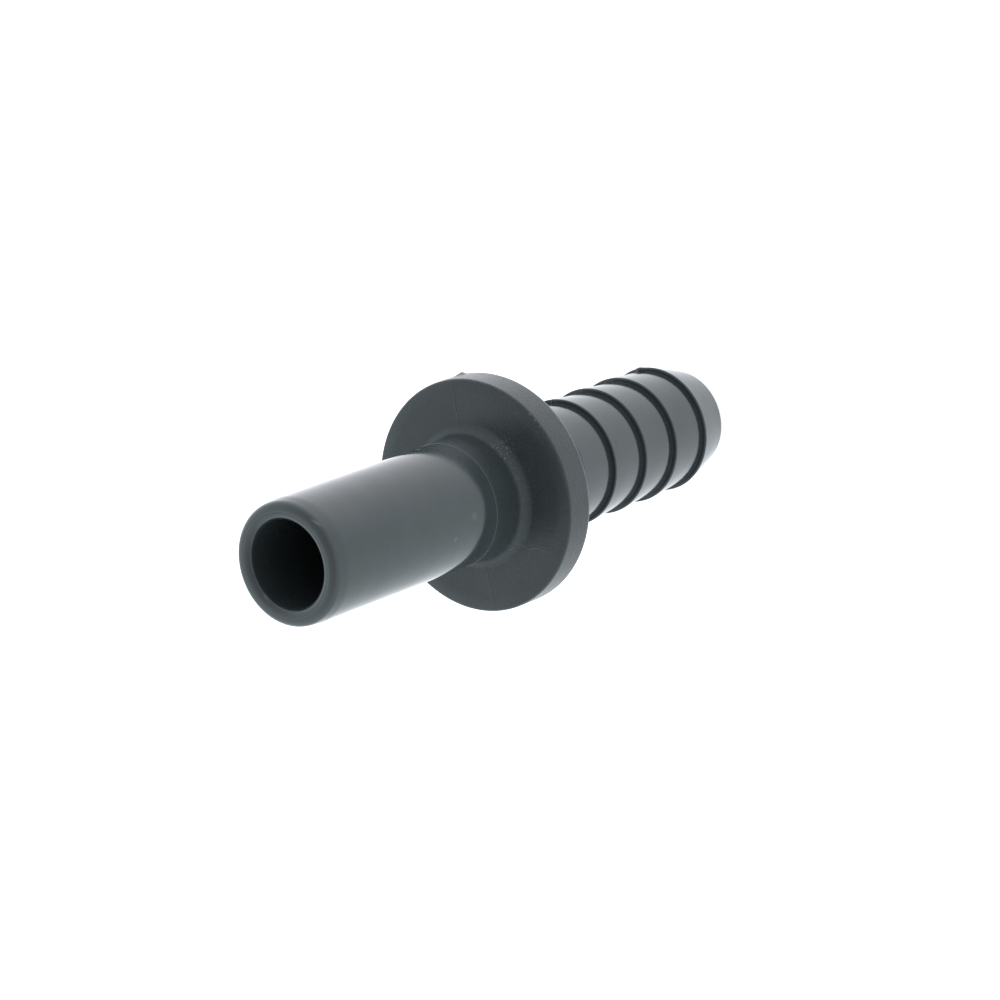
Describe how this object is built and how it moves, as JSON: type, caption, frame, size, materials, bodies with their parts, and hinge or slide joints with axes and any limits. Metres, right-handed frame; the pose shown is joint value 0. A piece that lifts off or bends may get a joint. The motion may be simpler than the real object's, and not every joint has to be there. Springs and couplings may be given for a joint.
{
  "type": "stem to barb connector",
  "caption": "One-piece moulded plastic tube connector: a smooth hollow stem for a push-in fitting, a round stop flange and a barbed hose tail, with a bore right through.",
  "frame": {"origin": "centre of the flat end face of the hose tail, on the bore's axis", "axes": "+Z along the bore from the end of the hose tail to the tip of the stem; X and Y across it, X in the plane where the mould parts"},
  "size_m": [0.0178, 0.0178, 0.0496],
  "materials": {
    "grey_acetal": "satin dark grey acetal, finely sparked on the flange"
  },
  "bodies": {
    "root": {"connector": "grey_acetal"}
  },
  "joints": []
}
